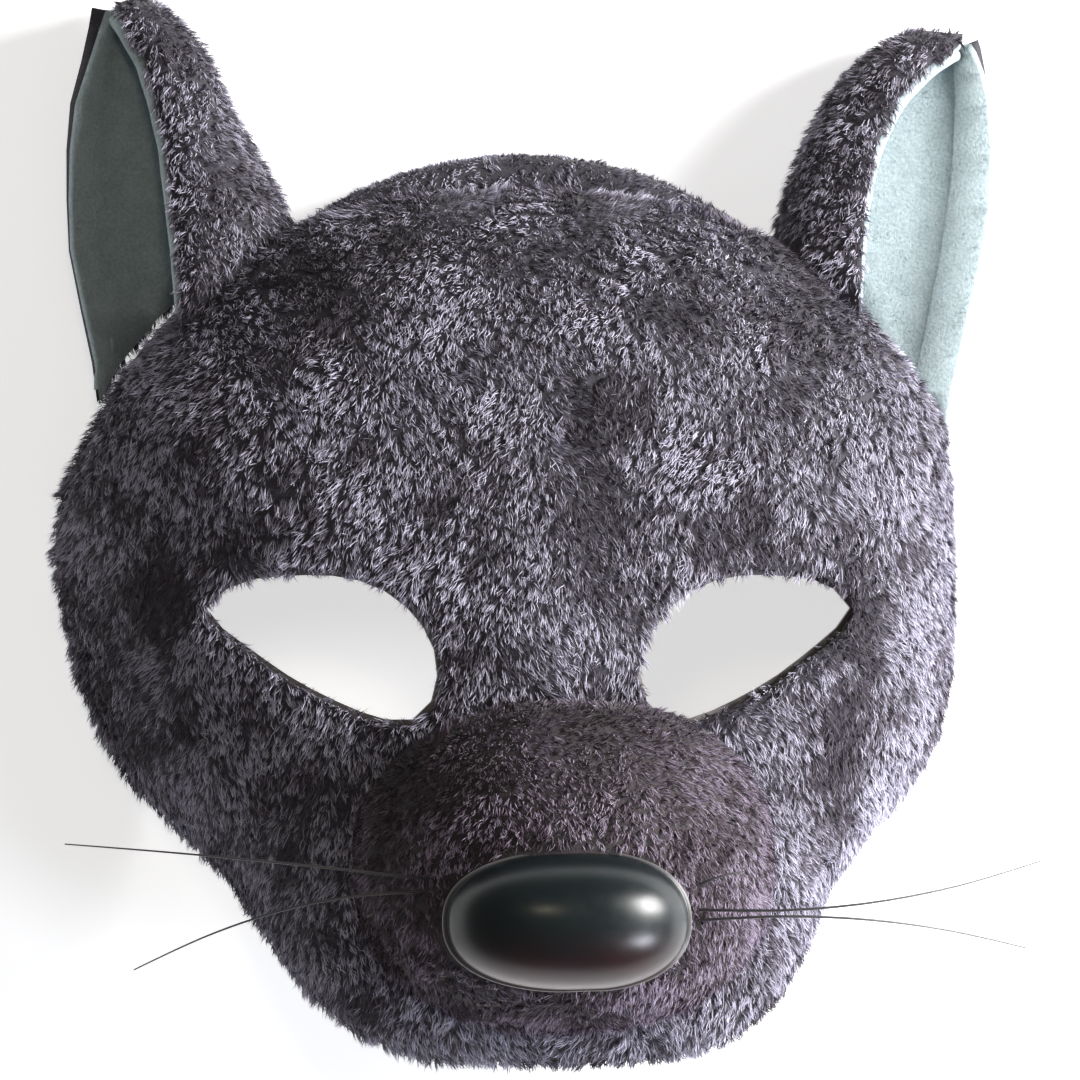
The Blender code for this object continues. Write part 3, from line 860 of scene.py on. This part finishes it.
@dataclass
class NoseButton:
    """The glossy nose, raised ring by ring from its seam."""

    corners: int = 40
    egg: float = 0.045
    notch: float = 0.5
    notch_at: float = 0.1
    notch_wide: float = 0.07
    notch_from: float = 0.9
    rings: Sequence[tuple[float, float]] = (
        (-0.34, 0.90), (-0.10, 0.955), (-0.045, 0.985), (-0.02, 1.0), (0.015, 1.0), (0.03, 0.985),
        (0.04, 0.962), (0.06, 0.956), (0.14, 0.952), (0.30, 0.915), (0.46, 0.855), (0.61, 0.765),
        (0.75, 0.645), (0.86, 0.505), (0.94, 0.35), (0.985, 0.18))
    seam_share: float = 0.235
    seam_rise: float = 4.4 * MM
    # Where the painted highlight along the parting line sits, and how far it reaches.
    line_drop: float = 0.002
    line_high: float = 0.5 * MM
    finish: GlossFinish = GlossFinish("nose_gloss")

    def shaped(self, obj: bpy.types.Object) -> None:
        """Turns the round tower into the rounded, slightly egg-like button.

        Args:
            obj: the tower, round the origin.
        """
        low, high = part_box("nose")
        middle_y = (low.y + high.y) / 2
        half_x = (high.x - low.x) / 2
        half_y = (high.y - low.y) / 2
        middle_x = (low.x + high.x) / 2
        for vertex in obj.data.vertices:
            x, y = vertex.co.x, vertex.co.y
            radius = math.hypot(x, y)
            if radius < 1e-9:
                vertex.co.x, vertex.co.y = middle_x, middle_y
                continue
            c, s = x / radius, y / radius
            reach = (abs(c) ** NOSE_SQUARENESS + abs(s) ** NOSE_SQUARENESS) ** (-1 / NOSE_SQUARENESS)
            egg = 1.0 + self.egg * c * abs(s)
            dip = math.exp(-((c - self.notch_at) / self.notch_wide) ** 2) if s < 0 else 0.0
            notch = 1.0 - self.notch * dip * max(radius - self.notch_from, 0.0)
            vertex.co.x = middle_x + half_x * radius * reach * c
            vertex.co.y = middle_y + half_y * radius * reach * s * egg * notch

    def build(self) -> list[bpy.types.Object]:
        """The button."""
        low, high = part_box("nose")
        tall = high.z - low.z
        seam = low.z + self.seam_share * tall + self.seam_rise
        depth = high.z - seam
        first_high, first_reach = self.rings[0]
        bpy.ops.object.select_all(action="DESELECT")
        bpy.ops.mesh.primitive_circle_add(vertices=self.corners, radius=first_reach, fill_type="NGON",
                                          location=(0, 0, 0))
        button = bpy.context.object
        bpy.ops.object.mode_set(mode="EDIT")
        bpy.ops.mesh.select_all(action="SELECT")
        bpy.ops.transform.translate(value=(0, 0, seam + first_high * depth))
        level, reach = first_high, first_reach
        for high_share, reach_share in self.rings[1:]:
            rise = (high_share - level) * depth
            bpy.ops.mesh.extrude_region_move(TRANSFORM_OT_translate={"value": (0, 0, rise)})
            grow = reach_share / reach
            bpy.ops.transform.resize(value=(grow, grow, 1.0), center_override=(0.0, 0.0, 0.0))
            level, reach = high_share, reach_share
        rise = (1.0 - level) * depth
        bpy.ops.mesh.extrude_region_move(TRANSFORM_OT_translate={"value": (0, 0, rise)})
        bpy.ops.mesh.merge(type="CENTER")
        bpy.ops.mesh.select_all(action="SELECT")
        bpy.ops.mesh.normals_make_consistent(inside=False)
        bpy.ops.object.mode_set(mode="OBJECT")
        self.shaped(button)
        smooth = button.modifiers.new("smooth", "SUBSURF")
        smooth.levels = 2
        smooth.render_levels = 2
        apply_modifiers(button)
        bpy.ops.object.shade_smooth()
        material = self.finish.material((low.y + high.y) / 2, (high.y - low.y) / 2,
                                        seam - self.line_drop * depth, self.line_high)
        dress(button, "nose_button", material)
        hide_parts("nose")
        return [button]


@dataclass
class CuppedEar:
    """One ear: plush outside, felt inside, with a rolled felt rim."""

    side: Side
    flat: tuple[float, float] = (0.085, 0.085)
    steps: int = 26
    front_within: float = 1.2 * MM
    rear_within: float = 4.0 * MM
    longest_step: float = 7 * MM
    rear_roll: float = 0.55
    roll: float = 1.5 * MM
    pile: Pile = field(default_factory=lambda: Pile(swirl=0.7, length=2.9 * MM, seed=31))
    nap: Pile = field(default_factory=lambda: Pile(
        density=3.4, tuft=2.0 * MM, length=0.75 * MM, width=0.12 * MM, sink=0.1 * MM, lean=(0.5, 1.2),
        clump=0.2, nap=Nap.UP, swirl=1.2, blade=1, seed=37))
    ground: ClothFinish = ClothFinish("ear_ground")
    finish: PileFinish = PileFinish("ear_strands")
    felt: ClothFinish = ClothFinish("ear_felt", 0.95, dark=(0.27, 0.34, 0.35), light=(0.43, 0.51, 0.53),
                                    fine=1600.0, broad=220.0, depth=0.25 * MM, sheen=0.2)
    fuzz: PileFinish = PileFinish("ear_felt_fuzz", root=(0.29, 0.36, 0.37), middle=(0.39, 0.47, 0.49),
                                  tip=(0.56, 0.65, 0.68))

    def rim(self, felt: bpy.types.Object) -> tuple[list, list]:
        """The felt's front rim from foot to tip, and its rear rim from tip to foot.

        Args:
            felt: the felt piece.
        Returns:
            For each rim, places and the roll's radius there.
        """
        points = np.array([v.co[:] for v in felt.data.vertices])
        foot, tip = points[:, 1].min(), points[:, 1].max()
        front, rear = [], []
        ended = False
        for share in np.linspace(0.97, 0.03, self.steps):
            level = foot + share * (tip - foot)
            build = bmesh.new()
            build.from_mesh(felt.data)
            cut = bmesh.ops.bisect_plane(build, geom=build.verts[:] + build.edges[:] + build.faces[:],
                                         plane_co=(0, level, 0), plane_no=(0, 1, 0))
            spots = np.array([e.co[:] for e in cut["geom_cut"] if isinstance(e, bmesh.types.BMVert)])
            build.free()
            if len(spots) < 3:
                continue
            out = self.side.value * spots[:, 0]
            high = spots[:, 2] > spots[:, 2].max() - self.front_within
            low = spots[:, 2] < spots[:, 2].min() + self.rear_within
            fore = Vector(spots[high][np.argmax(out[high])])
            ended = ended or bool(front and (front[-1][0] - fore).length > self.longest_step)
            if not ended:
                front.append((fore, self.roll * (0.5 + 0.6 * share)))
            rear.append((Vector(spots[low][np.argmax(out[low])]), self.roll * self.rear_roll))
        return list(reversed(front)), rear

    def rolled_rim(self, felt: bpy.types.Object) -> bpy.types.Object:
        """The felt turned over along the ear's edge."""
        front, rear = self.rim(felt)
        path = front + rear
        curve = bpy.data.curves.new("rim", "CURVE")
        curve.dimensions = "3D"
        curve.bevel_depth = 1.0
        curve.bevel_resolution = 3
        curve.use_fill_caps = True
        spline = curve.splines.new("NURBS")
        spline.points.add(len(path) - 1)
        for point, (spot, radius) in zip(spline.points, path):
            point.co = (*spot, 1.0)
            point.radius = radius
        spline.order_u = 4
        spline.use_endpoint_u = True
        spline.resolution_u = 3
        made = bpy.data.objects.new("rim", curve)
        bpy.context.scene.collection.objects.link(made)
        only(made)
        bpy.ops.object.convert(target="MESH")
        bpy.ops.object.shade_smooth()
        return bpy.context.object

    def rear_reach(self, felt: bpy.types.Object) -> Callable[[np.ndarray], np.ndarray]:
        """How far out the felt's rear rim stands at a height.

        Args:
            felt: the felt piece.
        Returns:
            A function from Y to that reach.
        """
        rear = [spot for spot, _ in self.rim(felt)[1]]
        order = np.argsort([spot.y for spot in rear])
        levels = [rear[k].y for k in order]
        reach = [self.side.value * rear[k].x for k in order]
        return lambda y: np.interp(y, levels, reach)

    def build(self) -> list[bpy.types.Object]:
        """The ear's cloths, pile, felt nap and rolled rim."""
        ear = f"ear_{self.side.name.lower()}"
        cloth = dress(merged_copy(f"{ear}_fur"), f"{ear}_plush_ground", self.ground.material())
        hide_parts(f"{ear}_fur")
        reach = self.rear_reach(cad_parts[f"{ear}_felt"])
        skin = Skin.of_piece(cloth, f"{ear}_felt", 1.2 * MM)
        grown = self.pile.grow(skin, lambda roots, ends: self.side.value * ends[:, 0] < reach(ends[:, 1]))
        strands = dress(self.pile.build(grown), f"{ear}_pile", self.finish.material())
        declare_sheet(cloth, self.flat)
        felt = dress(merged_copy(f"{ear}_felt"), f"{ear}_felt_lining", self.felt.material())
        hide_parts(f"{ear}_felt")
        rim = dress(self.rolled_rim(felt), f"{ear}_felt_rim", felt.data.materials[0])
        napped = self.nap.grow(Skin.of_piece(felt, f"{ear}_fur", 0.9 * MM))
        fuzz = dress(self.nap.build(napped), f"{ear}_felt_nap", self.fuzz.material())
        declare_sheet(felt, self.flat)
        return [cloth, strands, felt, rim, fuzz]


@dataclass
class Headband:
    """The hoop in its plush sleeve."""

    pile: Pile = field(default_factory=lambda: Pile(
        nap=Nap.FORWARD, density=3.0, length=2.2 * MM, seed=41, swirl=1.1))
    ground: ClothFinish = ClothFinish("band_ground")
    finish: PileFinish = PileFinish("band_strands", middle=(0.095, 0.082, 0.108))

    def build(self) -> list[bpy.types.Object]:
        """The sleeve and its pile."""
        sleeve = dress(merged_copy("headband"), "headband_sleeve", self.ground.material())
        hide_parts("headband")
        grown = self.pile.grow(Skin.of_piece(sleeve))
        strands = dress(self.pile.build(grown), "headband_pile", self.finish.material())
        return [sleeve, strands]


@dataclass
class Whiskers:
    """Thin bristles that taper to their tips."""

    names: Sequence[str] = ("whisker_left_upper", "whisker_left_lower", "whisker_right_upper",
                            "whisker_right_lower", "whisker_right_short")
    thick: float = 0.30 * MM
    thin: float = 0.13 * MM
    ring_gap: float = 0.5 * MM
    finish: BristleFinish = BristleFinish("bristle")

    def path(self, node: str) -> np.ndarray:
        """The bristle's middle line, from root to tip, read from its solid.

        Args:
            node: the solid's name.
        Returns:
            Its places, one a row.
        """
        points = np.array([v.co[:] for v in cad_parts[node].data.vertices])
        side = 1.0 if "right" in node else -1.0
        out = side * points[:, 0]
        order = np.argsort(out)
        points, out = points[order], out[order]
        gaps = np.where(np.diff(out) > self.ring_gap)[0] + 1
        return np.array([group.mean(0) for group in np.split(points, gaps)])

    def bristle(self, node: str, material: bpy.types.Material) -> bpy.types.Object:
        """One tapered bristle in place of its solid.

        Args:
            node: the solid's name.
            material: its finish.
        Returns:
            The bristle.
        """
        path = self.path(node)
        curve = bpy.data.curves.new(node, "CURVE")
        curve.dimensions = "3D"
        curve.bevel_depth = 1.0
        curve.bevel_resolution = 2
        curve.use_fill_caps = True
        spline = curve.splines.new("NURBS")
        spline.points.add(len(path) - 1)
        for k, point in enumerate(spline.points):
            share = k / (len(path) - 1)
            point.co = (*path[k], 1.0)
            point.radius = self.thick + (self.thin - self.thick) * share
        spline.order_u = 3
        spline.use_endpoint_u = True
        spline.resolution_u = 6
        made = bpy.data.objects.new(node, curve)
        bpy.context.scene.collection.objects.link(made)
        only(made)
        bpy.ops.object.convert(target="MESH")
        bpy.ops.object.shade_smooth()
        made = bpy.context.object
        across = np.abs(np.array([v.co.x for v in made.data.vertices]) - path[0, 0])
        layer = made.data.attributes.new("along", "FLOAT", "POINT")
        layer.data.foreach_set("value", (across / across.max()).astype(np.float32))
        dress(made, node + "_bristle", material)
        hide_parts(node)
        return made

    def build(self) -> list[bpy.types.Object]:
        """Every bristle."""
        material = self.finish.material()
        return [self.bristle(node, material) for node in self.names]


@dataclass
class MouldedBase:
    """The base keeps its solid and gets its finish."""

    finish: ShellFinish = ShellFinish("base_shell")

    def build(self) -> list[bpy.types.Object]:
        """Dresses the base."""
        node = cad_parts["face_base"]
        material = self.finish.material()
        for slot in node.material_slots:
            slot.material = material
        return [node]


@dataclass(frozen=True)
class Softbox:
    """An area light: the way to it from the mask, how far off it is, its side, watts and colour."""

    name: str
    way: tuple[float, float, float]
    away: float
    size: float
    power: float
    colour: Colour


LIGHTS = (
    Softbox("key_right", (0.84, 0.26, 0.46), 0.9, 0.36, 20.0, (1.0, 0.985, 0.98)),
    Softbox("low_right", (0.80, -0.50, 0.55), 0.9, 0.20, 5.0, (0.88, 0.92, 1.0)),
    Softbox("warm_top", (-0.15, 0.30, 1.0), 1.1, 0.10, 1.0, (1.0, 0.88, 0.66)),
)


@dataclass
class Studio:
    """Pale floor, soft light and the camera above the mask."""

    distance: float = 2.0
    half_view: float = 0.1026
    tilt: float = math.radians(8)
    aim: tuple[float, float, float] = (0.4, 100.4, 60.0)
    floor_glow: float = 0.62
    fill: float = 0.16
    lit_at: tuple[float, float, float] = (0.0, 0.0, 0.03)

    def floor(self) -> bpy.types.Object:
        """A wide white floor."""
        bpy.ops.object.select_all(action="DESELECT")
        bpy.ops.mesh.primitive_plane_add(size=6.0, location=(0, 0, 0))
        made = bpy.context.object
        made.name = "studio_floor"
        material = bpy.data.materials.new("studio_floor")
        material.use_nodes = True
        shader = material.node_tree.nodes["Principled BSDF"]
        shader.inputs["Base Color"].default_value = (0.80, 0.80, 0.81, 1.0)
        shader.inputs["Roughness"].default_value = 0.9
        shader.inputs["Specular IOR Level"].default_value = 0.1
        shader.inputs["Emission Color"].default_value = (1.0, 1.0, 1.0, 1.0)
        shader.inputs["Emission Strength"].default_value = self.floor_glow
        made.data.materials.append(material)
        return made

    def light(self, box: Softbox) -> None:
        """Places an area light that faces the mask.

        Args:
            box: which light.
        """
        lamp = bpy.data.lights.new(box.name, "AREA")
        lamp.size = box.size
        lamp.energy = box.power
        lamp.color = box.colour
        made = bpy.data.objects.new(box.name, lamp)
        middle = Vector(self.lit_at)
        made.location = middle + Vector(box.way).normalized() * box.away
        made.rotation_euler = (middle - made.location).to_track_quat("-Z", "Y").to_euler()
        bpy.context.scene.collection.objects.link(made)

    def camera(self) -> None:
        """The camera, nearly straight above the mask."""
        lens = bpy.data.cameras.new("view")
        lens.angle = 2 * math.atan(self.half_view / self.distance)
        made = bpy.data.objects.new("view", lens)
        x, y = Datum().place(self.aim[0], self.aim[1])
        target = Vector((x, y, self.aim[2] * MM))
        made.location = target + self.distance * Vector((-math.sin(self.tilt), 0.0, math.cos(self.tilt)))
        made.rotation_euler = (0.0, -self.tilt, 0.0)
        bpy.context.scene.collection.objects.link(made)
        bpy.context.scene.camera = made

    def build(self) -> list[bpy.types.Object]:
        """Floor, lights, surroundings and camera."""
        world = bpy.data.worlds.new("studio")
        world.use_nodes = True
        world.node_tree.nodes["Background"].inputs[0].default_value = (1.0, 1.0, 1.02, 1.0)
        world.node_tree.nodes["Background"].inputs[1].default_value = self.fill
        bpy.context.scene.world = world
        for box in LIGHTS:
            self.light(box)
        bpy.context.scene.view_settings.view_transform = "Standard"
        self.camera()
        return [self.floor()]


def main() -> None:
    """Builds every sub-assembly in order and reports each piece."""
    logging.basicConfig(level=logging.INFO, format="%(message)s")
    noise.seed_set(NOISE_SEED)
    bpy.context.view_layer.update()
    for assembly in (Studio(), MouldedBase(), PlushFace(), PlushMuzzle(), NoseButton(),
                     CuppedEar(Side.LEFT), CuppedEar(Side.RIGHT), Headband(), Whiskers()):
        for piece in assembly.build():
            triangles = sum(len(face.vertices) - 2 for face in piece.data.polygons)
            LOG.info("%s: %d triangles", piece.name, triangles)


if __name__ == "__main__":
    main()
